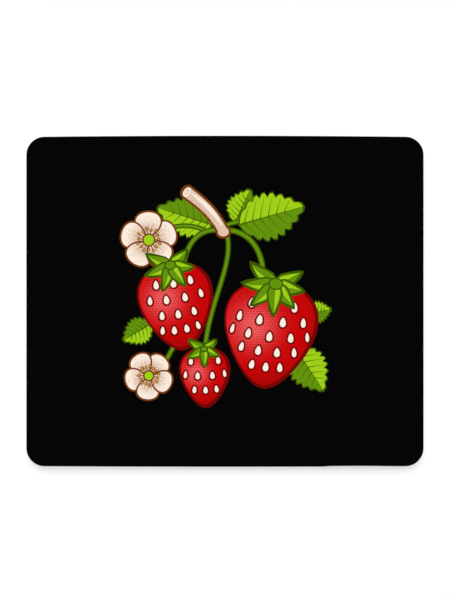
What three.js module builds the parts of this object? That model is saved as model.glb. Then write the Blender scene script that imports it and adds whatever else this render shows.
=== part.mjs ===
// A desk mouse pad: a printed cloth face bonded to a foam rubber base, both cut by one die.
// Millimetres, +Z up. The pad lies on z = 0 with its centre over the origin, and +Y is the top of the picture.
import * as THREE from "three";
import { mergeVertices } from "three/addons/utils/BufferGeometryUtils.js";

// Driving dimensions
const width = 240;
const depth = 200;
const thickness = 5;
const clothThickness = 0.5;
const cornerRadius = 11;
const backBow = 0.6; // how far the back edge bows out between its corners
const frontBow = 0.3;

// How finely the outline is divided
const bowSteps = 16;
const cornerSteps = 14;

const seamHeight = thickness - clothThickness;

// Each profile runs up the cut edge as [height, how far it lies inside the die's outline].
const baseProfile = [
  [0, 0.4], // lower edge, rounded by the mould
  [0.12, 0.15],
  [0.4, 0],
  [seamHeight / 2, 0.12], // the foam draws in a little between the two skins
  [seamHeight, 0],
];
const clothProfile = [
  [seamHeight, 0],
  [seamHeight + clothThickness * 0.45, 0.03],
  [seamHeight + clothThickness * 0.8, 0.2],
  [thickness, 0.6], // the die rolls the cloth's rim over
];

// The die's outline, drawn in by inset: round corners, straight ends and two slightly bowed long sides.
function dieOutline(inset) {
  const halfWidth = width / 2 - inset;
  const back = depth / 2 - backBow - inset;
  const front = -(depth / 2 - frontBow - inset);
  const radius = cornerRadius - inset;
  const right = halfWidth - radius;
  const corner = (x, y, start) => new THREE.EllipseCurve(x, y, radius, radius, start, start + Math.PI / 2);
  const side = (x0, y0, x1, y1) => new THREE.LineCurve(new THREE.Vector2(x0, y0), new THREE.Vector2(x1, y1));
  // A quadratic curve reaches half as far out as its control point.
  const bowed = (fromX, y, bow) =>
    new THREE.QuadraticBezierCurve(
      new THREE.Vector2(fromX, y),
      new THREE.Vector2(0, y + 2 * bow),
      new THREE.Vector2(-fromX, y),
    );
  return [
    [side(halfWidth, front + radius, halfWidth, back - radius), 1],
    [corner(right, back - radius, 0), cornerSteps],
    [bowed(right, back, backBow), bowSteps],
    [corner(-right, back - radius, Math.PI / 2), cornerSteps],
    [side(-halfWidth, back - radius, -halfWidth, front + radius), 1],
    [corner(-right, front + radius, Math.PI), cornerSteps],
    [bowed(-right, front, -frontBow), bowSteps],
    [corner(right, front + radius, 1.5 * Math.PI), cornerSteps],
  ].flatMap(([curve, steps]) => curve.getPoints(steps).slice(0, -1)); // the next stretch starts at the last point
}

// A closed solid through the outlines of a profile, lowest first, with a flat face at each end.
function stacked(profile) {
  const rings = profile.map(([height, inset]) => dieOutline(inset).map((p) => new THREE.Vector3(p.x, p.y, height)));
  const count = rings[0].length;
  const triangles = [];
  for (let level = 0; level + 1 < rings.length; level++) {
    for (let i = 0; i < count; i++) {
      const next = (i + 1) % count;
      const [a, b] = [level * count + i, level * count + next];
      const [c, d] = [a + count, b + count];
      triangles.push(a, b, d, a, d, c);
    }
  }
  const face = THREE.ShapeUtils.triangulateShape(dieOutline(profile[0][1]), []);
  const top = (rings.length - 1) * count;
  for (const [a, b, c] of face) triangles.push(c, b, a);
  for (const [a, b, c] of face) triangles.push(top + a, top + b, top + c);
  const geometry = new THREE.BufferGeometry().setFromPoints(rings.flat()).setIndex(triangles);
  return mergeVertices(geometry);
}

function clothFace() {
  const material = new THREE.MeshStandardMaterial({ color: 0x0b0b0c, roughness: 0.95, metalness: 0 });
  const mesh = new THREE.Mesh(stacked(clothProfile), material);
  mesh.name = "cloth_face";
  return mesh;
}

function foamBase() {
  const material = new THREE.MeshStandardMaterial({ color: 0x151515, roughness: 0.9, metalness: 0 });
  const mesh = new THREE.Mesh(stacked(baseProfile), material);
  mesh.name = "foam_base";
  return mesh;
}

const mousePad = new THREE.Group();
mousePad.add(foamBase(), clothFace());

export default mousePad;
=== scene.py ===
import math
import random

import bpy
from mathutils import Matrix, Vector, noise
from mathutils.geometry import delaunay_2d_cdt


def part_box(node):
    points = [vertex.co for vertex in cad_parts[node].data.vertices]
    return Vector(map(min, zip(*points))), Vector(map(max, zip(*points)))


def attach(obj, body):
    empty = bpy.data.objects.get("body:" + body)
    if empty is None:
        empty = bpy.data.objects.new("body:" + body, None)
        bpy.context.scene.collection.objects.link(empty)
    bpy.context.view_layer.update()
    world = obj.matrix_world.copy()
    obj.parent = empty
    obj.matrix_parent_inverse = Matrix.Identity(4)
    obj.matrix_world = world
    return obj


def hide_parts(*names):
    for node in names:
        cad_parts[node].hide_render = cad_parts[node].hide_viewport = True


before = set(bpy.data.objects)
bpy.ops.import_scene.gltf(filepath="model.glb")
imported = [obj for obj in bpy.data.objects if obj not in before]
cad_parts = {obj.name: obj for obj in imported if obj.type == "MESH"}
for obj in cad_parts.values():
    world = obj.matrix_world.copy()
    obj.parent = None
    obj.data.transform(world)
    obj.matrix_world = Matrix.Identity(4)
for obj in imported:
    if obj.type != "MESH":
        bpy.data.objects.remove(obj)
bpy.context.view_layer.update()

mm = 0.001

clothLow, clothHigh = (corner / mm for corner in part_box("cloth_face"))
foamLow, foamHigh = (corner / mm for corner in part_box("foam_base"))
padWidth = clothHigh.x - clothLow.x
padDepth = clothHigh.y - clothLow.y
padTop = clothHigh.z
seamHeight = foamHigh.z


# Short helpers for node trees

def setInputs(tree, node, feeds):
    for name, value in feeds.items():
        if isinstance(value, bpy.types.NodeSocket):
            tree.links.new(value, node.inputs[name])
        else:
            node.inputs[name].default_value = value


def addNode(tree, kind, feeds=None, **options):
    node = tree.nodes.new(kind)
    for name, value in options.items():
        setattr(node, name, value)
    setInputs(tree, node, feeds or {})
    return node


def calc(tree, operation, *values):
    return addNode(tree, "ShaderNodeMath", dict(enumerate(values)), operation=operation).outputs[0]


# Random grain with its middle at 0.5
def grainOf(tree, spot, perMetre, detail, roughness):
    feeds = {"Vector": spot, "Scale": perMetre, "Detail": detail, "Roughness": roughness}
    return addNode(tree, "ShaderNodeTexNoise", feeds).outputs["Fac"]


# 0 up to low, 1 from high on
def between(tree, value, low, high, rise="SMOOTHSTEP"):
    feeds = {"Value": value, "From Min": low, "From Max": high}
    return addNode(tree, "ShaderNodeMapRange", feeds, interpolation_type=rise).outputs[0]


def newMaterial(name):
    material = bpy.data.materials.new(name)
    material.use_nodes = True
    tree = material.node_tree
    return material, tree, tree.nodes["Principled BSDF"]


# Camera, lights and table

picture = {
    "width": 450,  # the photograph's frame, in pixels
    "height": 600,
    "padCentre": (224.95, 301.25),
    "pixelsPerMm": 1.6555,
    "lens": 85,
    "sensor": 36,
    "nearest": 0.01,  # metres
    "farthest": 50,
}


def makeCamera():
    scale = picture["pixelsPerMm"]
    halfHeight = picture["height"] / 2 / scale
    data = bpy.data.cameras.new("copyStand")
    data.lens = picture["lens"]
    data.sensor_width = picture["sensor"]
    data.clip_start = picture["nearest"]
    data.clip_end = picture["farthest"]
    camera = bpy.data.objects.new("copyStand", data)
    rightOfCentre = (picture["width"] / 2 - picture["padCentre"][0]) / scale
    aboveCentre = (picture["padCentre"][1] - picture["height"] / 2) / scale
    height = padTop + halfHeight * picture["lens"] / (picture["sensor"] / 2)
    camera.location = Vector((rightOfCentre, aboveCentre, height)) * mm  # unturned, it looks straight down
    bpy.context.scene.collection.objects.link(camera)
    bpy.context.scene.camera = camera


# A light's share is of a white sheet's brightness. Its angles are in degrees: up from the table, from +Y
# towards -X, and across the light itself.
studio = {
    "lights": [
        {"name": "overhead", "share": 0.65, "elevation": 90, "turn": 0, "spread": 4},
        {"name": "window", "share": 0.34, "elevation": 53, "turn": 6, "spread": 54},
    ],
    "fill": 0.05,
    "wall": 1.02,  # how bright the room is where the camera sees past the table
    "tableSize": 6.0,  # metres
    "tableWhite": 0.985,
    "tableRoughness": 0.9,
}


def makeLight(name, share, elevation, turn, spread):
    data = bpy.data.lights.new(name, "SUN")
    data.energy = share * math.pi / math.sin(math.radians(elevation))
    data.angle = math.radians(spread)
    light = bpy.data.objects.new(name, data)
    e, t = math.radians(elevation), math.radians(turn)
    towards = Vector((-math.sin(t) * math.cos(e), math.cos(t) * math.cos(e), math.sin(e)))
    light.rotation_euler = towards.to_track_quat("Z", "Y").to_euler()
    bpy.context.scene.collection.objects.link(light)


def makeSky():
    world = bpy.data.worlds.new("whiteRoom")
    world.use_nodes = True
    tree = world.node_tree
    tree.nodes.clear()
    fill = addNode(tree, "ShaderNodeBackground", {"Strength": studio["fill"]})
    wall = addNode(tree, "ShaderNodeBackground", {"Strength": studio["wall"]})
    for background in (fill, wall):
        background.inputs["Color"].default_value = (1, 1, 1, 1)
    seen = addNode(tree, "ShaderNodeLightPath").outputs["Is Camera Ray"]
    blend = addNode(tree, "ShaderNodeMixShader", {0: seen, 1: fill.outputs[0], 2: wall.outputs[0]})
    addNode(tree, "ShaderNodeOutputWorld", {"Surface": blend.outputs[0]})
    bpy.context.scene.world = world


def makeTable():
    half = studio["tableSize"] / 2
    corners = [(-half, -half, 0), (half, -half, 0), (half, half, 0), (-half, half, 0)]
    data = bpy.data.meshes.new("table")
    data.from_pydata(corners, [], [(0, 1, 2, 3)])
    table = bpy.data.objects.new("table", data)
    bpy.context.scene.collection.objects.link(table)
    material, tree, skin = newMaterial("whiteTable")
    white = (studio["tableWhite"],) * 3 + (1,)
    rough = studio["tableRoughness"]
    setInputs(tree, skin, {"Base Color": white, "Roughness": rough, "Specular IOR Level": 0.0})
    data.materials.append(material)


makeCamera()
for light in studio["lights"]:
    makeLight(**light)
makeSky()
makeTable()
bpy.context.scene.view_settings.view_transform = "Standard"
print("camera, lights and table are in place")


# The die's outline, shared by the cloth and the foam

die = {
    "cornerRadius": 11,
    "backBow": 0.6,  # how far the long sides bow out between their corners
    "frontBow": 0.3,
    "cornerSteps": 16,
    "bowSteps": 56,
    "sideSteps": 44,
}


# Points round the pad, anticlockwise from the front end of its right side
def dieOutline(inset):
    radius = die["cornerRadius"] - inset
    right = padWidth / 2 - die["cornerRadius"]
    back = padDepth / 2 - die["backBow"] - die["cornerRadius"]
    front = -padDepth / 2 + die["frontBow"] + die["cornerRadius"]

    def corner(x, y, start):
        turns = [math.radians(start + 90 * i / die["cornerSteps"]) for i in range(die["cornerSteps"])]
        return [(x + radius * math.cos(a), y + radius * math.sin(a)) for a in turns]

    def bowed(start, y, bow):
        xs = [start * (1 - 2 * i / die["bowSteps"]) for i in range(die["bowSteps"])]
        return [(x, y + bow * (1 - (x / right) ** 2)) for x in xs]

    def side(x, start, end):
        return [(x, start + (end - start) * i / die["sideSteps"]) for i in range(die["sideSteps"])]

    points = side(right + radius, front, back) + corner(right, back, 0)
    points += bowed(right, back + radius, die["backBow"]) + corner(-right, back, 90)
    points += side(-right - radius, back, front) + corner(-right, front, 180)
    points += bowed(-right, front - radius, -die["frontBow"]) + corner(right, front, 270)
    return points


# The print: a sprig of strawberries. Its shapes are painted one over another on the flat cloth.

inks = {  # as a screen shows them, 0 to 255
    "ground": (0, 0, 0),
    "deepRed": (118, 0, 0),
    "red": (203, 0, 2),
    "shadeRed": (168, 0, 0),
    "glowRed": (243, 96, 98),
    "cream": (250, 236, 221),
    "tan": (226, 196, 174),
    "darkTan": (190, 148, 118),
    "bark": (120, 56, 6),
    "darkLeaf": (58, 86, 0),
    "midLeaf": (98, 146, 8),
    "brightLeaf": (158, 206, 22),
    "vein": (70, 104, 0),
    "pollen": (206, 160, 60),
}

painted = []  # lowest first
loosePoints = []  # corners that a blended ink needs inside its shape
finestEnd = 0.02  # a stroke that ends narrower than this ends in a point


def mix(a, b, t):
    return tuple(p + (q - p) * t for p, q in zip(a, b))


def smooth(t):
    t = min(1, max(0, t))
    return t * t * (3 - 2 * t)


def distance(a, b):
    return math.hypot(a[0] - b[0], a[1] - b[1])


# An angle or heading that a function is handed is in degrees
def place(points, at, angle=0):
    c, s = math.cos(math.radians(angle)), math.sin(math.radians(angle))
    return [(at[0] + x * c - y * s, at[1] + x * s + y * c) for x, y in points]


def inside(point, shape):
    x, y = point
    odd = False
    for (ax, ay), (bx, by) in zip(shape, shape[1:] + shape[:1]):
        if (ay > y) != (by > y) and x < ax + (y - ay) / (by - ay) * (bx - ax):
            odd = not odd
    return odd


# An oval along +X, with its fat end there if lean is above 0
def egg(length, width, lean, count):
    turns = [2 * math.pi * i / count for i in range(count)]
    widest = max(math.sin(a) * (1 + lean * math.cos(a)) for a in turns)
    half = width / 2 / widest
    return [(length / 2 * math.cos(a), half * math.sin(a) * (1 + lean * math.cos(a))) for a in turns]


def bezier(points, count):
    curve = []
    for i in range(count + 1):
        rest = list(points)
        while len(rest) > 1:
            rest = [mix(a, b, i / count) for a, b in zip(rest, rest[1:])]
        curve.append(rest[0])
    return curve


# The outline of a stroke along path, as wide as widthAt says from its start, 0, to its end, 1
def band(path, widthAt):
    left, right = [], []
    for i, (x, y) in enumerate(path):
        ax, ay = path[max(i - 1, 0)]
        bx, by = path[min(i + 1, len(path) - 1)]
        half = widthAt(i / (len(path) - 1)) / 2 / math.hypot(bx - ax, by - ay)
        left.append((x - (by - ay) * half, y + (bx - ax) * half))
        right.append((x + (by - ay) * half, y - (bx - ax) * half))
    if widthAt(0) < finestEnd:
        left = left[1:]
    if widthAt(1) < finestEnd:
        right = right[:-1]
    return right + left[::-1]


# An ink is a name from inks, or a function that gives the colour at a point
def paint(points, ink):
    area = sum(a[0] * b[1] - b[0] * a[1] for a, b in zip(points, points[1:] + points[:1]))
    painted.append({"points": points if area > 0 else points[::-1], "ink": ink})


def paintEgg(length, width, at, ink, angle=0, lean=0, count=24):
    paint(place(egg(length, width, lean, count), at, angle), ink)


def paintBand(path, widthAt, ink, at=(0, 0), angle=0):
    paint(place(band(path, widthAt), at, angle), ink)


berry = {
    "lean": 0.34,  # how much fatter the stalk's end is
    "line": 1.7,
    "lift": 0.3,  # how far the flesh sits up and left in its outline, in lines
    "glow": (-0.17, 0.08),  # from the middle, in widths and lengths
    "glowReach": 0.52,  # in widths
    "glowFade": 1.25,
    "lit": (-0.1, 0.12),  # the middle of the part that is out of the shade
    "shadeFrom": 0.36,  # in lengths
    "shadeOver": 0.3,
    "each": [  # the seeds of a row are turn degrees apart, and seed is their length
        {"at": (27, -20), "length": 66, "width": 57, "angle": 83,
         "rows": 6, "turn": 30, "seed": 5.8, "sepals": 7},
        {"at": (-29, -3), "length": 54, "width": 46, "angle": 99,
         "rows": 5, "turn": 30, "seed": 5.2, "sepals": 6},
        {"at": (-12, -46), "length": 37, "width": 31, "angle": 92,
         "rows": 4, "turn": 36, "seed": 4.4, "sepals": 5},
    ],
}


def paintBerry(one):
    length, width, angle = one["length"], one["width"], one["angle"]
    x0, y0 = one["at"]
    line, lean = berry["line"], berry["lean"]
    lift = berry["lift"] * line
    glow = (x0 + berry["glow"][0] * width, y0 + berry["glow"][1] * length)
    lit = (x0 + berry["lit"][0] * width, y0 + berry["lit"][1] * length)
    reach = berry["glowReach"] * width

    def fleshInk(x, y):
        shine = smooth(1 - distance((x, y), glow) / reach) ** berry["glowFade"]
        pastLit = distance((x, y), lit) - berry["shadeFrom"] * length
        shade = smooth(pastLit / (berry["shadeOver"] * length))
        return mix(mix(inks["red"], inks["shadeRed"], shade), inks["glowRed"], shine)

    def dotInk(x, y):
        shine = smooth(stipple["nearGlow"] - distance((x, y), glow) / reach / stipple["glowSpread"])
        return mix(fleshInk(x, y), inks["deepRed"], stipple["dark"] + stipple["darker"] * shine)

    paintEgg(length, width, one["at"], "deepRed", angle, lean, 90)
    paintEgg(length - 2 * line, width - 2 * line, (x0 - lift, y0 + lift), fleshInk, angle, lean, 90)
    paintStipple(one, dotInk)
    paintSeeds(one)
    paintCalyx(one)


stipple = {
    "pitch": 1.75,
    "rowPitch": 0.87,  # in pitches
    "size": 0.74,
    "dark": 0.14,  # how much deep red a dot has outside the glow
    "darker": 0.56,  # and how much more in it
    "nearGlow": 1.25,
    "glowSpread": 1.1,  # in reaches of the glow
}


def paintStipple(one, ink):
    x0, y0 = one["at"]
    pitch, size = stipple["pitch"], stipple["size"]
    clear = 2 * berry["line"] + 2 * size
    room = place(egg(one["length"] - clear, one["width"] - clear, berry["lean"], 60), one["at"], one["angle"])
    across = int(one["length"] / pitch)
    for j in range(-across, across):
        for i in range(-across, across):
            spot = (x0 + (i + 0.5 * (j % 2)) * pitch, y0 + j * pitch * stipple["rowPitch"])
            if inside(spot, room):
                paintEgg(size, size, spot, ink, count=8)


seed = {
    "clear": (1.9, 1.5),  # how much less room than the berry they have along and across it, in seeds
    "firstRow": 0.33,  # from the middle towards the stalk, in berry lengths
    "rowsOver": 0.70,
    "sag": 0.07,  # how far a row hangs down in front
    "reach": 0.96,  # how far out the rows go, in half widths
    "lastTurn": 66,
    "shrink": 0.14,  # towards the last row
    "slim": 0.66,
    "edgeOn": 0.7,  # how fast they narrow towards the sides
    "splay": 14,
    "splayFrom": 0.4,
    "lean": -0.3,
    "line": 1.1,
    "lineLean": -0.25,
}


# Half of a berry's width, at a distance along its axis from the middle
def berryHalf(one, along):
    c = max(-1, min(1, along / (one["length"] / 2)))
    lean = berry["lean"]
    turns = [i / 50 for i in range(157)]  # half of a turn, in radians
    widest = max(math.sin(a) * (1 + lean * math.cos(a)) for a in turns)
    return one["width"] / 2 * math.sqrt(1 - c * c) * (1 + lean * c) / widest


def paintSeeds(one):
    length, angle, line = one["length"], one["angle"], seed["line"]
    clearAlong, clearAcross = (share * one["seed"] for share in seed["clear"])
    room = place(egg(length - clearAlong, one["width"] - clearAcross, berry["lean"], 60), one["at"], angle)
    across = int(seed["lastTurn"] / one["turn"]) + 1
    for row in range(one["rows"]):
        middle = length * (seed["firstRow"] - seed["rowsOver"] * row / (one["rows"] - 1))
        for k in range(-across, across + 1):
            turn = (k + 0.5 * (row % 2)) * one["turn"]
            front, aside = math.cos(math.radians(turn)), math.sin(math.radians(turn))
            along = middle - seed["sag"] * length * front
            off = -berryHalf(one, along) * seed["reach"] * aside
            spot = place([(along, off)], one["at"], angle)[0]
            if abs(turn) > seed["lastTurn"] or not inside(spot, room):
                continue
            size = one["seed"] * (1 - seed["shrink"] * row / one["rows"])
            wide = size * seed["slim"] * front ** seed["edgeOn"]
            heading = angle + seed["splay"] * aside * (seed["splayFrom"] + row / one["rows"])
            paintEgg(size + 2 * line, wide + 2 * line, spot, "deepRed", heading, seed["lineLean"])
            paintEgg(size, wide, spot, "cream", heading, seed["lean"], 20)


calyx = {
    "top": 0.465,  # from the middle, in berry lengths
    "spread": 112,  # from the middle sepal to the outer ones
    "length": 0.36,  # a sepal's, in berry widths
    "width": 0.145,
    "middleShare": 1.05,
    "outerLoss": 0.12,
    "unevenLength": 0.08,
    "bend": 0.22,
    "unevenBend": 0.05,
    "knob": (0.13, 0.16),
    "knobLine": 0.8,
}


def paintCalyx(one):
    width = one["width"]
    top = place([(one["length"] * calyx["top"], 0)], one["at"], one["angle"])[0]
    middle = (one["sepals"] - 1) / 2
    for i in sorted(range(one["sepals"]), key=lambda k: -abs(k - middle)):
        u = (i - middle) / middle
        heading = one["angle"] + 180 + calyx["spread"] * u
        share = calyx["middleShare"] - calyx["outerLoss"] * abs(u) + calyx["unevenLength"] * math.cos(7 * i)
        bend = calyx["bend"] * u + calyx["unevenBend"] * math.sin(5 * i)
        paintSepal(top, heading, calyx["length"] * width * share, calyx["width"] * width, bend)
    knobLong, knobWide = (share * width for share in calyx["knob"])
    for inset, ink in ((0, "darkLeaf"), (calyx["knobLine"], "midLeaf")):
        paintEgg(knobLong - 2 * inset, knobWide - 2 * inset, top, ink, one["angle"], count=20)


sepal = {
    "steps": 16,
    "root": 0.45,  # its width at the root, in full widths
    "swell": 2.2,
    "taper": 2.4,
    "line": 0.95,
    "lineEnd": 7,  # the higher, the nearer to the tip the line stays full
    "core": 0.88,  # how far along the fill goes
    "coreTaper": 5,
    "sheenWidth": 0.38,
    "sheenSide": 0.21,  # how far it is off the middle, in widths
    "sheenTaper": 3,
}


def paintSepal(at, heading, length, width, bend):
    steps, core = sepal["steps"], sepal["core"]

    def along(t):
        return length * t, bend * length * t * t

    def widthAt(t):
        return width * min(1, sepal["root"] + sepal["swell"] * t) * (1 - t ** sepal["taper"])

    def edgeWidth(t):
        return widthAt(t) + 2 * sepal["line"] * min(1, sepal["lineEnd"] * (1 - t))

    def coreWidth(t):
        return widthAt(core * t) * (1 - t ** sepal["coreTaper"])

    def sheenWidth(t):
        return sepal["sheenWidth"] * widthAt(core * t) * (1 - t ** sepal["sheenTaper"])

    path = [along(i / steps) for i in range(steps + 1)]
    inner = [along(core * i / steps) for i in range(steps + 1)]
    upper = [(x, y + sepal["sheenSide"] * widthAt(core * i / steps)) for i, (x, y) in enumerate(inner)]
    paintBand(path, edgeWidth, "darkLeaf", at, heading)
    paintBand(inner, coreWidth, "midLeaf", at, heading)
    paintBand(upper, sheenWidth, "brightLeaf", at, heading)


leaf = {
    "teeth": 8,
    "plain": 0.35,  # how much of the edge has no teeth at the stalk, in teeth
    "widest": 0.8,  # the lower, the nearer to the stalk
    "fullness": 0.85,  # the lower, the fuller
    "bite": 0.075,  # the deepest notch, in leaf widths
    "biteFrom": 0.15,
    "biteOver": 0.8,
    "hump": 0.55,  # where a tooth bulges, between its two ends
    "humpRise": 0.15,  # in bites
    "hook": 0.012,  # how far a tooth's tip hooks over the next notch, in leaf lengths
    "hookBack": 0.01,
    "hookRise": 0.35,
    "line": 0.9,
    "tipLine": 2.4,  # how much shorter the fill is, in lines
    "rib": 1.1,
    "ribTaper": 0.95,
    "ribFrom": 0.2,
    "ribTo": 0.92,  # in leaf lengths
    "vein": 0.62,
    "veinTaper": 0.5,
    "veinFrom": 0.75,  # in teeth
    "veinTo": (0.96, 0.8),  # its end, as shares of the tooth's tip
    "veinBend": (0.55, 0.5),
    "veinSag": 0.6,
    "each": [
        {"at": (6, 47), "angle": 66, "length": 23, "width": 19},
        {"at": (8, 46), "angle": 16, "length": 42, "width": 29},
        {"at": (-7, 46), "angle": 163, "length": 36, "width": 24},
        {"at": (42, -28), "angle": -56, "length": 32, "width": 24},
        {"at": (49, -8), "angle": 12, "length": 16, "width": 14},
        {"at": (-44, -13), "angle": 212, "length": 21, "width": 17},
    ],
}


# The toothed edge of one half of a leaf, from its stalk to its tip along +X: three points to a tooth
def leafSide(length, width):
    teeth, plain = leaf["teeth"], leaf["plain"]

    def half(t):
        return width / 2 * math.sin(math.pi * t ** leaf["widest"]) ** leaf["fullness"] if 0 < t < 1 else 0

    side = [(0, 0)]
    for i in range(teeth):
        a, b = (i + plain) / (teeth + plain), (i + 1) / (teeth + plain)
        bite = leaf["bite"] * width * math.sin(math.pi * (leaf["biteFrom"] + leaf["biteOver"] * i / teeth))
        hump = a + leaf["hump"] * (b - a)
        side.append((a * length, half(a) - (bite if i else 0)))
        side.append((hump * length, half(hump) + leaf["humpRise"] * bite))
        side.append(((b + leaf["hook"]) * length, half(b - leaf["hookBack"]) + leaf["hookRise"] * bite))
    side.append((length, 0))
    return side


def bothSides(side):
    return side + [(x, -y) for x, y in side[-2:0:-1]]


def paintLeaf(at, angle, length, width):
    line = leaf["line"]
    edge = leafSide(length, width)
    fill = [(x + line, y) for x, y in leafSide(length - leaf["tipLine"] * line, width - 2 * line)]
    paint(place(bothSides(edge), at, angle), "darkLeaf")
    paint(place(bothSides(fill), at, angle), "midLeaf")
    paint(place(fill, at, angle), "brightLeaf")
    rib = bezier([(leaf["ribFrom"], 0), (length * leaf["ribTo"], 0)], 8)
    paintBand(rib, lambda t: leaf["rib"] - leaf["ribTaper"] * t, "vein", at, angle)
    along, out = leaf["veinBend"]
    for i in range(leaf["teeth"] - 2):
        start = (i + leaf["veinFrom"]) / (leaf["teeth"] + leaf["plain"]) * length
        tipX, tipY = edge[3 * (i + 1) + 3]
        for side in (1, -1):
            end = (tipX * leaf["veinTo"][0], side * tipY * leaf["veinTo"][1])
            bend = (start * (1 - along) + end[0] * along - leaf["veinSag"], end[1] * out)
            path = bezier([(start, 0), bend, end], 6)
            paintBand(path, lambda t: leaf["vein"] - leaf["veinTaper"] * t, "vein", at, angle)


stalk = {
    "line": 0.8,
    "steps": 30,
    "each": [
        {"points": [(0, 44), (8, 26), (-10, 0), (-12, -29)], "width": 1.6},
        {"points": [(-12, 43), (-22, 47), (-32, 47), (-42, 39)], "width": 1.4},
        {"points": [(-2, 43), (-12, 44), (-22, 40), (-25, 22)], "width": 1.8},
        {"points": [(2, 43), (14, 42), (24, 32), (23, 12)], "width": 2.0},
        {"points": [(-20, -10), (-34, -30), (-36, -40), (-44, -46)], "width": 1.6},
        {"points": [(0, 45), (2, 47), (4, 47), (8, 48)], "width": 1.4},
        {"points": [(0, 44), (-3, 46), (-5, 46), (-9, 47)], "width": 1.4},
    ],
}


def paintStalk(points, width):
    path = bezier(points, stalk["steps"])
    paintBand(path, lambda t: width + 2 * stalk["line"], "darkLeaf")
    paintBand(path, lambda t: width, "midLeaf")


cane = {
    "points": [(-23, 66), (-15, 60), (-7, 54), (-1, 42)],  # from its cut end
    "steps": 24,
    "width": 6.4,
    "taper": 1.2,
    "line": 1.4,
    "knot": (9.5, 0.9),  # its width, and its height as a share of that
    "light": 2.4,
    "lightShift": (0.8, 0.7),
    "lightEnds": 0.08,  # how far from a point the light stripe's ends are, as a share of a half wave
    "dots": 46,
    "dotSize": (0.55, 0.45),
    "dotsAside": (-3.2, -0.6),
    "dotsDown": (-2.6, 0),
    "cutEdge": 4.6,
    "cut": 4.0,
    "cutRings": [(1.0, "cream"), (0.55, "darkTan"), (0.38, "cream")],
}


def paintCane():
    path = bezier(cane["points"], cane["steps"])
    line, width, ends = cane["line"], cane["width"], cane["lightEnds"]
    knotLong, knotHigh = cane["knot"][0], cane["knot"][0] * cane["knot"][1]
    upper, lower = cane["points"][:2]
    cutTurn = math.degrees(math.atan2(upper[1] - lower[1], upper[0] - lower[0]))
    light = [(x + cane["lightShift"][0], y + cane["lightShift"][1]) for x, y in path[2:-2]]
    paintEgg(knotLong, knotHigh, path[-1], "bark")
    paintBand(path, lambda t: width + 2 * line - cane["taper"] * t, "bark")
    paintEgg(cane["cutEdge"] + 2 * line, width + 2 * line, path[0], "bark", cutTurn, count=28)
    paintBand(path, lambda t: width - cane["taper"] * t, "tan")
    paintBand(light, lambda t: cane["light"] * math.sin(math.pi * (ends + (1 - 2 * ends) * t)), "cream")
    paintEgg(knotLong - 2 * line, knotHigh - 2 * line, path[-1], "tan", count=20)
    draw = random.Random(5)
    for i in range(cane["dots"]):
        x, y = path[draw.randrange(3, len(path))]
        spot = (x + draw.uniform(*cane["dotsAside"]), y + draw.uniform(*cane["dotsDown"]))
        paintEgg(*cane["dotSize"], spot, "darkTan", count=6)
    for size, ink in cane["cutRings"]:
        paintEgg(cane["cut"] * size, width * size, path[0], ink, cutTurn)


blossom = {
    "petals": 5,
    "petalAt": 0.56,  # a petal's middle and size, in radii of the blossom
    "petalLength": 0.92,
    "petalWidth": 0.98,
    "petalLean": 0.22,
    "line": 1.1,
    "creamFrom": 0.32,  # in radii
    "creamOver": 0.55,
    "blendStep": 0.09,
    "folds": (-16, 0, 16),
    "foldReach": (0.3, 0.62),  # in radii
    "fold": 0.7,
    "foldTaper": 0.62,
    "dots": 9,
    "dotSize": 0.5,
    "dotReach": (0.45, 0.85),
    "dotTurn": 24,
    "stamens": 15,
    "stamenTurn": 9,
    "stamen": 0.5,
    "stamenFrom": 1,
    "stamenReach": (0.34, 0.40),  # every other one is longer
    "antherEdge": (2.3, 1.9),
    "anther": (1.4, 1.1),
    "disc": 0.46,
    "discLine": 0.9,
    "each": [
        {"at": (-46, 37), "size": 35, "angle": 20},
        {"at": (-46, -45), "size": 30, "angle": 50},
    ],
}


def paintBlossom(at, size, angle):
    radius = size / 2
    draw = random.Random(int(size))
    for i in range(blossom["petals"]):
        paintPetal(at, radius, angle + 360 / blossom["petals"] * i, draw)
    for i in range(blossom["stamens"]):
        heading = angle + blossom["stamenTurn"] + 360 * i / blossom["stamens"]
        reach = radius * blossom["stamenReach"][i % 2]
        end = place([(reach, 0)], at, heading)[0]
        paintBand([(blossom["stamenFrom"], 0), (reach, 0)], lambda t: blossom["stamen"], "bark", at, heading)
        paintEgg(*blossom["antherEdge"], end, "bark", heading, count=10)
        paintEgg(*blossom["anther"], end, "pollen", heading, count=8)
    disc = radius * blossom["disc"]
    paintEgg(disc, disc, at, "bark", count=28)
    paintEgg(disc - 2 * blossom["discLine"], disc - 2 * blossom["discLine"], at, "brightLeaf")


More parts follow.
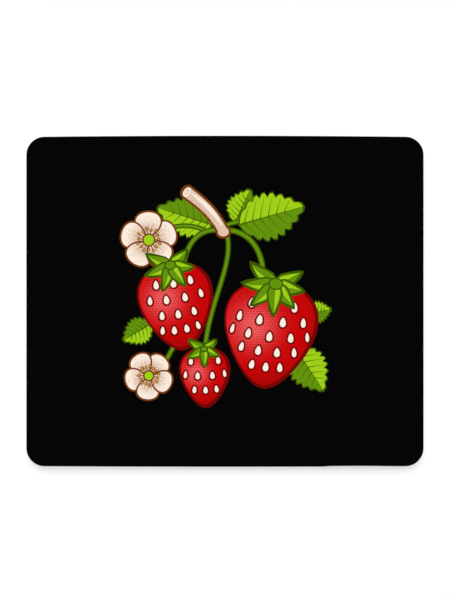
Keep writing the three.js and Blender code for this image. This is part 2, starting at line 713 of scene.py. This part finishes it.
def paintPetal(at, radius, heading, draw):
    line, lean = blossom["line"], blossom["petalLean"]
    long, wide = radius * blossom["petalLength"], radius * blossom["petalWidth"]
    middle = place([(radius * blossom["petalAt"], 0)], at, heading)[0]
    petal = place(egg(long - 2 * line, wide - 2 * line, lean, 36), middle, heading)

    def petalInk(x, y):
        way = (distance((x, y), at) / radius - blossom["creamFrom"]) / blossom["creamOver"]
        return mix(inks["tan"], inks["cream"], smooth(way))

    paintEgg(long, wide, middle, "bark", heading, lean, 40)
    paint(petal, petalInk)
    step = radius * blossom["blendStep"]
    across = math.ceil(1 / blossom["blendStep"])
    for j in range(-across, across + 1):
        for k in range(-across, across + 1):
            spot = (at[0] + (j + 0.5 * (k % 2)) * step, at[1] + k * step)
            if inside(spot, petal):
                loosePoints.append(spot)
    fold = bezier([(share * radius, 0) for share in blossom["foldReach"]], 5)
    for spread in blossom["folds"]:
        paintBand(fold, lambda t: blossom["fold"] - blossom["foldTaper"] * t, "darkTan", at, heading + spread)
    for j in range(blossom["dots"]):
        out = radius * draw.uniform(*blossom["dotReach"])
        turn = draw.uniform(-blossom["dotTurn"], blossom["dotTurn"])
        spot = place([(out, 0)], at, heading + turn)[0]
        paintEgg(blossom["dotSize"], blossom["dotSize"], spot, "darkTan", count=6)


def drawPrint():
    for one in leaf["each"]:
        paintLeaf(**one)
    for one in stalk["each"]:
        paintStalk(**one)
    paintCane()
    for one in blossom["each"]:
        paintBlossom(**one)
    for one in berry["each"]:
        paintBerry(one)


drawPrint()
print(f"the print has {len(painted)} shapes")


# Bake maps: the broad face lies flat on the map, the edge goes in four strips above it

bakeMap = {
    "margin": 0.01,
    "stripStart": 0.845,
    "hiddenAt": 0.985,  # a small corner for the face that the pad hides
    "hiddenSize": 0.012,
}


def faceSpot(x, y):
    scale = (1 - 2 * bakeMap["margin"]) / padWidth
    return bakeMap["margin"] + (x + padWidth / 2) * scale, bakeMap["margin"] + (y + padDepth / 2) * scale


def hiddenSpot(x, y):
    at, size = bakeMap["hiddenAt"], bakeMap["hiddenSize"]
    return at + (x / padWidth - 0.5) * size, at + (y / padDepth - 0.5) * size


# Where each stretch of the edge lies on the map: the left and right ends of the face at (column, row)
def stripSpots(rows, stripHeight, stripPitch):
    outline = dieOutline(0)
    count = len(outline)
    longSide, shortSide = die["bowSteps"] + die["cornerSteps"], die["sideSteps"] + die["cornerSteps"]
    starts = [0, shortSide, shortSide + longSide, 2 * shortSide + longSide, count]
    scale = (1 - 2 * bakeMap["margin"]) / padWidth
    spots = {}
    for quarter in range(4):
        along = bakeMap["margin"]
        for column in range(starts[quarter], starts[quarter + 1]):
            step = distance(outline[column], outline[(column + 1) % count]) * scale
            for row in range(rows):
                low = bakeMap["stripStart"] + quarter * stripPitch + row / (rows - 1) * stripHeight
                spots[column, row] = (along, low), (along + step, low)
            along += step
    return spots


# The map's corners for the faces that edgeFaces makes, in the same order
def edgeSpots(rows, count, strip):
    spots = stripSpots(rows, *strip)
    uvs = []
    for row in range(rows - 1):
        for column in range(count):
            (leftUp, rightUp), (leftLow, rightLow) = spots[column, row], spots[column, row + 1]
            uvs += leftUp + leftLow + rightLow + rightUp
    return uvs


# Four-sided faces between rows of corners that run round the pad, the first row highest
def edgeFaces(rows, count):
    faces = []
    for upper, lower in zip(rows, rows[1:]):
        for i in range(count):
            j = (i + 1) % count
            faces.append([upper[i], lower[i], lower[j], upper[j]])
    return faces


mergeWithin = 0.002  # corners of the flat faces that are closer than this are one


# Triangles between closed outlines: the corners, the triangles, which outlines hold each triangle, and where
# each corner that was handed in ended up
def fillFlat(outlines, extra):
    corners = [p for outline in outlines for p in outline] + extra
    rings, start = [], 0
    for outline in outlines:
        rings.append(list(range(start, start + len(outline))))
        start += len(outline)
    flat = [Vector(p) for p in corners]
    made, _, triangles, sources, _, holders = delaunay_2d_cdt(flat, [], rings, 1, mergeWithin, True)
    found = {source: i for i, group in enumerate(sources) for source in group}
    return [tuple(p) for p in made], [list(t) for t in triangles], holders, found


# Adds one row of corners, and gives their numbers
def addRow(points, row):
    points += row
    return list(range(len(points) - len(row), len(points)))


# A screen colour as the light that it stands for
def linear(ink):
    return [(v / 255 / 12.92 if v < 10.3 else ((v / 255 + 0.055) / 1.055) ** 2.4) for v in ink] + [1.0]


def meshPiece(name, points, faces):
    data = bpy.data.meshes.new(name)
    data.from_pydata([(x * mm, y * mm, z * mm) for x, y, z in points], [], faces)
    piece = bpy.data.objects.new(name, data)
    bpy.context.scene.collection.objects.link(piece)
    return piece


# The cloth face

cloth = {
    "rimWidth": 0.6,  # how far in the die rolls the rim over
    "rimHeight": 0.36,
    "rimRows": 8,
    "groundGrid": 7.0,
    "groundClear": 0.6,  # from the rim, in grid steps
    "inkReach": 0.80,  # how far round the rim the ink goes
    "bareReach": 0.26,  # and where it stops short, on the front edge
    "bareFrom": 59.5,
    "bareTo": 118,
    "bareStart": 16,  # the higher, the more suddenly it stops short
    "bareEnd": 1.6,
    "strip": (0.016, 0.026),  # height and pitch of the edge's strips on the map
}


# (height, inset, way from the flat face) down the rim
def rimProfile():
    rows = []
    for i in range(cloth["rimRows"] + 1):
        a = math.radians(90 * (1 - i / cloth["rimRows"]))
        low = padTop - cloth["rimHeight"] * (1 - math.sin(a))
        rows.append((low, cloth["rimWidth"] * (1 - math.cos(a))))
    rows.append((seamHeight, 0.0))
    way, profile = 0.0, []
    for i, row in enumerate(rows):
        way += distance(row, rows[i - 1]) if i else 0
        profile.append((*row, way))
    return profile


def inkReachAt(x, y):
    reach = cloth["inkReach"]
    if y < -padDepth / 4:
        t = (x - cloth["bareFrom"]) / (cloth["bareTo"] - cloth["bareFrom"])
        bare = smooth(t * cloth["bareStart"]) * smooth((1 - t) * cloth["bareEnd"])
        reach += (cloth["bareReach"] - reach) * bare
    return reach


# Corners all over the ground, which keep its triangles even
def groundPoints():
    step = cloth["groundGrid"]
    inner = dieOutline(step * cloth["groundClear"])
    across = int(padWidth / step)
    lattice = [(i, j) for i in range(-across, across) for j in range(-across, across)]
    grid = [((i + 0.5 * (j % 2)) * step, j * step) for i, j in lattice]
    return [p for p in grid if inside(p, inner)]


def makeCloth():
    profile = rimProfile()
    rim = dieOutline(profile[0][1])
    count = len(rim)
    shapes = [shape["points"] for shape in painted]
    flat, triangles, holders, found = fillFlat([rim] + shapes, loosePoints + groundPoints())
    points = [(x, y, padTop) for x, y in flat]
    rows = [[found[i] for i in range(count)]]
    for height, inset, _ in profile[1:]:
        rows.append(addRow(points, [(x, y, height) for x, y in dieOutline(inset)]))
    sides = edgeFaces(rows, count)
    back = rows[-1][::-1]
    piece = meshPiece("printedCloth", points, triangles + sides + [back])
    data = piece.data

    colours, uvs = [], []
    for triangle, group in zip(triangles, holders):
        top = max(group)
        ink = painted[top - 1]["ink"] if top else "ground"
        for corner in triangle:
            x, y = flat[corner]
            colours += linear(ink(x, y) if callable(ink) else inks[ink])
            uvs += faceSpot(x, y)
    colours += linear(inks["ground"]) * (4 * len(sides) + len(back))
    uvs += edgeSpots(len(rows), count, cloth["strip"])
    for corner in back:
        uvs += hiddenSpot(*points[corner][:2])
    data.attributes.new("dye", "FLOAT_COLOR", "CORNER").data.foreach_set("color", colours)
    data.uv_layers.new(name="OFBake").data.foreach_set("uv", uvs)

    margins = [1.0] * len(points)  # how far the ink goes on past each point
    for row, (_, _, way) in zip(rows, profile):
        for corner in row:
            margins[corner] = inkReachAt(*points[corner][:2]) - way
    data.attributes.new("inkMargin", "FLOAT", "POINT").data.foreach_set("value", margins)
    shade = [False] * len(triangles) + [True] * len(sides) + [False]
    data.polygons.foreach_set("use_smooth", shade)
    data.materials.append(printedKnit())
    return piece


knit = {
    "pitch": 0.9,  # from one wale to the next
    "depth": 0.06,
    "bump": 0.9,
    "waleFlat": 0.6,  # the lower, the flatter a wale is on top
    "loopRise": 0.7,  # how much higher a loop's middle is than its ends
    "fibre": {"perMetre": 6250, "detail": 3.0, "roughness": 0.6},
    "fibreRise": 0.45,
    "nap": {"perMetre": 24, "detail": 3.0, "roughness": 0.5},  # patches where the pile lies another way
    "undyed": (240, 239, 235),
    "ragged": 0.22,  # how far the ink's edge wanders
    "inkEdge": (-0.03, 0.04),
    "gapLight": 0.85,  # painted shade: how bright the dye is left between the stitches
    "stitchLight": 0.24,  # and the painted light: how much brighter it is on them
    "fibreLight": 0.10,
    "stitchSheen": 0.006,  # painted sheen: how much light is added on the tops of the stitches, flecked by the fibre grain
    "roughness": 0.80,
    "napRoughness": 0.12,
    "specular": 0.02,
    "sheen": 0.06,
    "sheenRoughness": 0.35,
}


# The height of the stitches: each wale is a column of loops that slant to its middle
def stitches(tree, spot):
    split = addNode(tree, "ShaderNodeSeparateXYZ", {0: spot})
    wale = calc(tree, "DIVIDE", split.outputs[0], knit["pitch"] * mm)
    course = calc(tree, "DIVIDE", split.outputs[1], knit["pitch"] * mm)
    slope = calc(tree, "PINGPONG", wale, 0.5)
    ribs = calc(tree, "ABSOLUTE", calc(tree, "SINE", calc(tree, "MULTIPLY", wale, math.pi)))
    loops = calc(tree, "SINE", calc(tree, "MULTIPLY", calc(tree, "ADD", course, slope), math.pi))
    loops = calc(tree, "MULTIPLY_ADD", calc(tree, "ABSOLUTE", loops), knit["loopRise"], 1 - knit["loopRise"])
    return calc(tree, "MULTIPLY", calc(tree, "POWER", ribs, knit["waleFlat"]), loops)


def printedKnit():
    material, tree, skin = newMaterial("printedKnit")
    spot = addNode(tree, "ShaderNodeTexCoord").outputs["Object"]
    stitch = stitches(tree, spot)
    fibre = grainOf(tree, spot, **knit["fibre"])
    nap = grainOf(tree, spot, **knit["nap"])
    height = calc(tree, "MULTIPLY_ADD", fibre, knit["fibreRise"], stitch)
    bump = addNode(tree, "ShaderNodeBump", {"Distance": knit["depth"] * mm, "Height": height})
    bump.inputs["Strength"].default_value = knit["bump"]

    dye = addNode(tree, "ShaderNodeAttribute", attribute_name="dye").outputs["Color"]
    margin = addNode(tree, "ShaderNodeAttribute", attribute_name="inkMargin").outputs["Fac"]
    ragged = calc(tree, "MULTIPLY", calc(tree, "SUBTRACT", fibre, 0.5), knit["ragged"])
    bare = between(tree, calc(tree, "SUBTRACT", ragged, margin), *knit["inkEdge"])
    thread = addNode(tree, "ShaderNodeMix", {0: bare, 6: dye, 7: linear(knit["undyed"])}, data_type="RGBA")
    # Painted shade between the stitches and painted light on their tops, with a random fleck from the fibres
    light = calc(tree, "MULTIPLY_ADD", stitch, knit["stitchLight"], knit["gapLight"])
    speckle = calc(tree, "MULTIPLY_ADD", fibre, knit["fibreLight"], -knit["fibreLight"] / 2)
    light = calc(tree, "ADD", light, speckle)
    # Painted sheen on the tops of the stitches, added to the base colour
    stitchSheen = calc(tree, "MULTIPLY", calc(tree, "MULTIPLY", stitch, stitch), fibre)
    stitchSheen = calc(tree, "MULTIPLY", stitchSheen, knit["stitchSheen"])
    feeds = {0: thread.outputs[2], 1: light, 2: stitchSheen}
    shaded = addNode(tree, "ShaderNodeVectorMath", feeds, operation="MULTIPLY_ADD").outputs[0]
    setInputs(tree, skin, {
        "Base Color": shaded,
        "Roughness": calc(tree, "MULTIPLY_ADD", nap, knit["napRoughness"], knit["roughness"]),
        "Specular IOR Level": knit["specular"],
        "Sheen Weight": knit["sheen"],
        "Sheen Roughness": knit["sheenRoughness"],
        "Normal": bump.outputs[0],
    })
    return material


clothPiece = makeCloth()
print(f"the cloth has {len(clothPiece.data.polygons)} faces")


# The foam base

foam = {
    "gripPitch": 6.0,
    "gripFoot": 2.6,  # half of a grip diamond, corner to corner, at its foot
    "gripLand": 2.25,  # and on its flat land
    "gripDepth": 0.3,
    "gripClear": 0.2,  # the least gap between a diamond's foot and the border's
    "border": 2.4,  # plain strip round the grip
    "edgeRound": 0.4,
    "edgeTurns": (0, 30, 60),
    "waist": 0.12,  # how far the cut foam draws in between the skins
    "sideRows": 9,
    "roughCut": 0.03,
    "roughScale": 0.9,
    "roughUp": 1.5,  # how much finer the roughness is up the side than along it
    "strip": (0.019, 0.031),  # height and pitch of the edge's strips on the map
}


# (height, inset) up the side, from the moulded lower edge to the seam
def foamProfile():
    radius = foam["edgeRound"]
    turns = [math.radians(a) for a in foam["edgeTurns"]]
    rows = [(radius * (1 - math.cos(a)), radius * (1 - math.sin(a))) for a in turns]
    for i in range(foam["sideRows"]):
        t = i / (foam["sideRows"] - 1)
        rows.append((radius + t * (seamHeight - radius), foam["waist"] * math.sin(math.pi * t)))
    return rows


# Pairs of foot and land outlines, staggered all over the underside
def gripDiamonds():
    field = dieOutline(foam["border"] + foam["gripDepth"] + foam["gripClear"])
    pitch = foam["gripPitch"]
    across = int(padWidth / pitch)
    pairs = []
    for j in range(-2 * across, 2 * across):
        for i in range(-across, across):
            x, y = (i + 0.5 * (j % 2)) * pitch, j * pitch / 2
            reach = foam["gripFoot"], foam["gripLand"]
            foot, land = ([(x + r, y), (x, y + r), (x - r, y), (x, y - r)] for r in reach)
            if all(inside(p, field) for p in foot):
                pairs += [foot, land]
    return pairs


# A corner of the side, which stands a little in or out where the foam is cut
def sideCorner(x, y, height):
    smoothRow = math.isclose(height, seamHeight) or height < foam["edgeRound"]
    spot = Vector((x, y, height * foam["roughUp"])) * foam["roughScale"]
    rough = 0 if smoothRow else foam["roughCut"] * noise.noise(spot)
    pull = 1 - rough / math.hypot(x, y)
    return x * pull, y * pull, foamLow.z + height


def makeFoam():
    profile = foamProfile()
    outline = dieOutline(profile[0][1])
    count = len(outline)
    borderIn = dieOutline(foam["border"])
    borderFoot = dieOutline(foam["border"] + foam["gripDepth"])
    diamonds = gripDiamonds()
    outlines = [outline, borderIn, borderFoot] + diamonds
    recessed = [False, False, True] + [True, False] * (len(diamonds) // 2)
    flat, triangles, _, found = fillFlat(outlines, [])
    heights = [foamLow.z] * len(flat)
    start = 0
    for ring, deep in zip(outlines, recessed):
        for i in range(start, start + len(ring)):
            heights[found[i]] = foamLow.z + (foam["gripDepth"] if deep else 0)
        start += len(ring)
    points = [(x, y, z) for (x, y), z in zip(flat, heights)]
    rows = [[found[i] for i in range(count)]]
    for height, inset in profile[1:]:
        rows.append(addRow(points, [sideCorner(x, y, height) for x, y in dieOutline(inset)]))
    underside = [t[::-1] for t in triangles]
    sides = edgeFaces(rows[::-1], count)
    piece = meshPiece("foamBase", points, underside + sides + [rows[-1]])
    data = piece.data

    uvs = []
    for triangle in underside:
        for corner in triangle:
            uvs += faceSpot(*points[corner][:2])
    uvs += edgeSpots(len(rows), count, foam["strip"])
    for corner in rows[-1]:
        uvs += hiddenSpot(*points[corner][:2])
    data.uv_layers.new(name="OFBake").data.foreach_set("uv", uvs)
    shade = [False] * len(underside) + [True] * len(sides) + [False]
    data.polygons.foreach_set("use_smooth", shade)
    data.materials.append(foamRubber())
    return piece


rubber = {
    "dark": (14, 14, 15),
    "pale": (48, 48, 49),
    "bump": 0.7,
    "skin": (0.3, 0.6),  # the moulded skin ends at the first height, and the open cut starts at the second
    "pore": 0.55,  # from one pore to the next
    "poreRim": (0.12, 0.5),
    "poreDepth": 0.12,
    # painted shade: how much darker the pores are
    "poreShade": 0.8,
    "grain": {"perMetre": 3200, "detail": 4.0, "roughness": 0.65},
    "grainRise": 0.4,
    "pebble": 1.1,  # the mould's grain on the underside
    "pebbleSmooth": 0.4,
    "pebbleRise": 0.8,
    # painted shade: how much darker the hollows between the pebbles are
    "pebbleShade": 0.5,
    "cloud": {"perMetre": 60, "detail": 3.0, "roughness": 0.55},
    "paleness": -0.62,
    "cloudPale": 0.8,
    "grainPale": 1.3,
    "roughness": 0.62,
    "cloudRoughness": 0.2,
    "specular": 0.3,
}


def foamRubber():
    material, tree, skin = newMaterial("foamRubber")
    spot = addNode(tree, "ShaderNodeTexCoord").outputs["Object"]
    cells = addNode(tree, "ShaderNodeTexVoronoi", {"Vector": spot, "Scale": 1 / (rubber["pore"] * mm)})
    pores = between(tree, cells.outputs["Distance"], *rubber["poreRim"])
    grain = grainOf(tree, spot, **rubber["grain"])
    cloud = grainOf(tree, spot, **rubber["cloud"])
    split = addNode(tree, "ShaderNodeSeparateXYZ", {0: spot})
    cut = between(tree, split.outputs[2], *(height * mm for height in rubber["skin"]), rise="LINEAR")
    openness = calc(tree, "MULTIPLY", cut, calc(tree, "SUBTRACT", 1.0, pores))
    pebbles = addNode(tree, "ShaderNodeTexVoronoi", {"Vector": spot}, feature="SMOOTH_F1")
    setInputs(tree, pebbles, {"Scale": 1 / (rubber["pebble"] * mm), "Smoothness": rubber["pebbleSmooth"]})
    moulded = calc(tree, "MULTIPLY", calc(tree, "SUBTRACT", 1.0, cut), pebbles.outputs["Distance"])
    height = calc(tree, "SUBTRACT", calc(tree, "MULTIPLY", grain, rubber["grainRise"]), openness)
    height = calc(tree, "MULTIPLY_ADD", moulded, -rubber["pebbleRise"], height)
    bump = addNode(tree, "ShaderNodeBump", {"Distance": rubber["poreDepth"] * mm, "Height": height})
    bump.inputs["Strength"].default_value = rubber["bump"]
    paleness = calc(tree, "MULTIPLY_ADD", cloud, rubber["cloudPale"], rubber["paleness"])
    paleness = calc(tree, "MULTIPLY_ADD", grain, rubber["grainPale"], paleness)
    # Painted shade: the pores and the hollows between the moulded pebbles are darker
    for hollow, shade in ((openness, rubber["poreShade"]), (moulded, rubber["pebbleShade"])):
        paleness = calc(tree, "MULTIPLY", paleness, calc(tree, "MULTIPLY_ADD", hollow, -shade, 1.0))
    colour = addNode(tree, "ShaderNodeMix", data_type="RGBA")
    setInputs(tree, colour, {0: paleness, 6: linear(rubber["dark"]), 7: linear(rubber["pale"])})
    setInputs(tree, skin, {
        "Base Color": colour.outputs[2],
        "Roughness": calc(tree, "MULTIPLY_ADD", cloud, rubber["cloudRoughness"], rubber["roughness"]),
        "Specular IOR Level": rubber["specular"],
        "Normal": bump.outputs[0],
    })
    return material


foamPiece = makeFoam()
print(f"the foam has {len(foamPiece.data.polygons)} faces")


# Where the pieces belong

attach(clothPiece, "root")
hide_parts("cloth_face")
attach(foamPiece, "root")
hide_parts("foam_base")
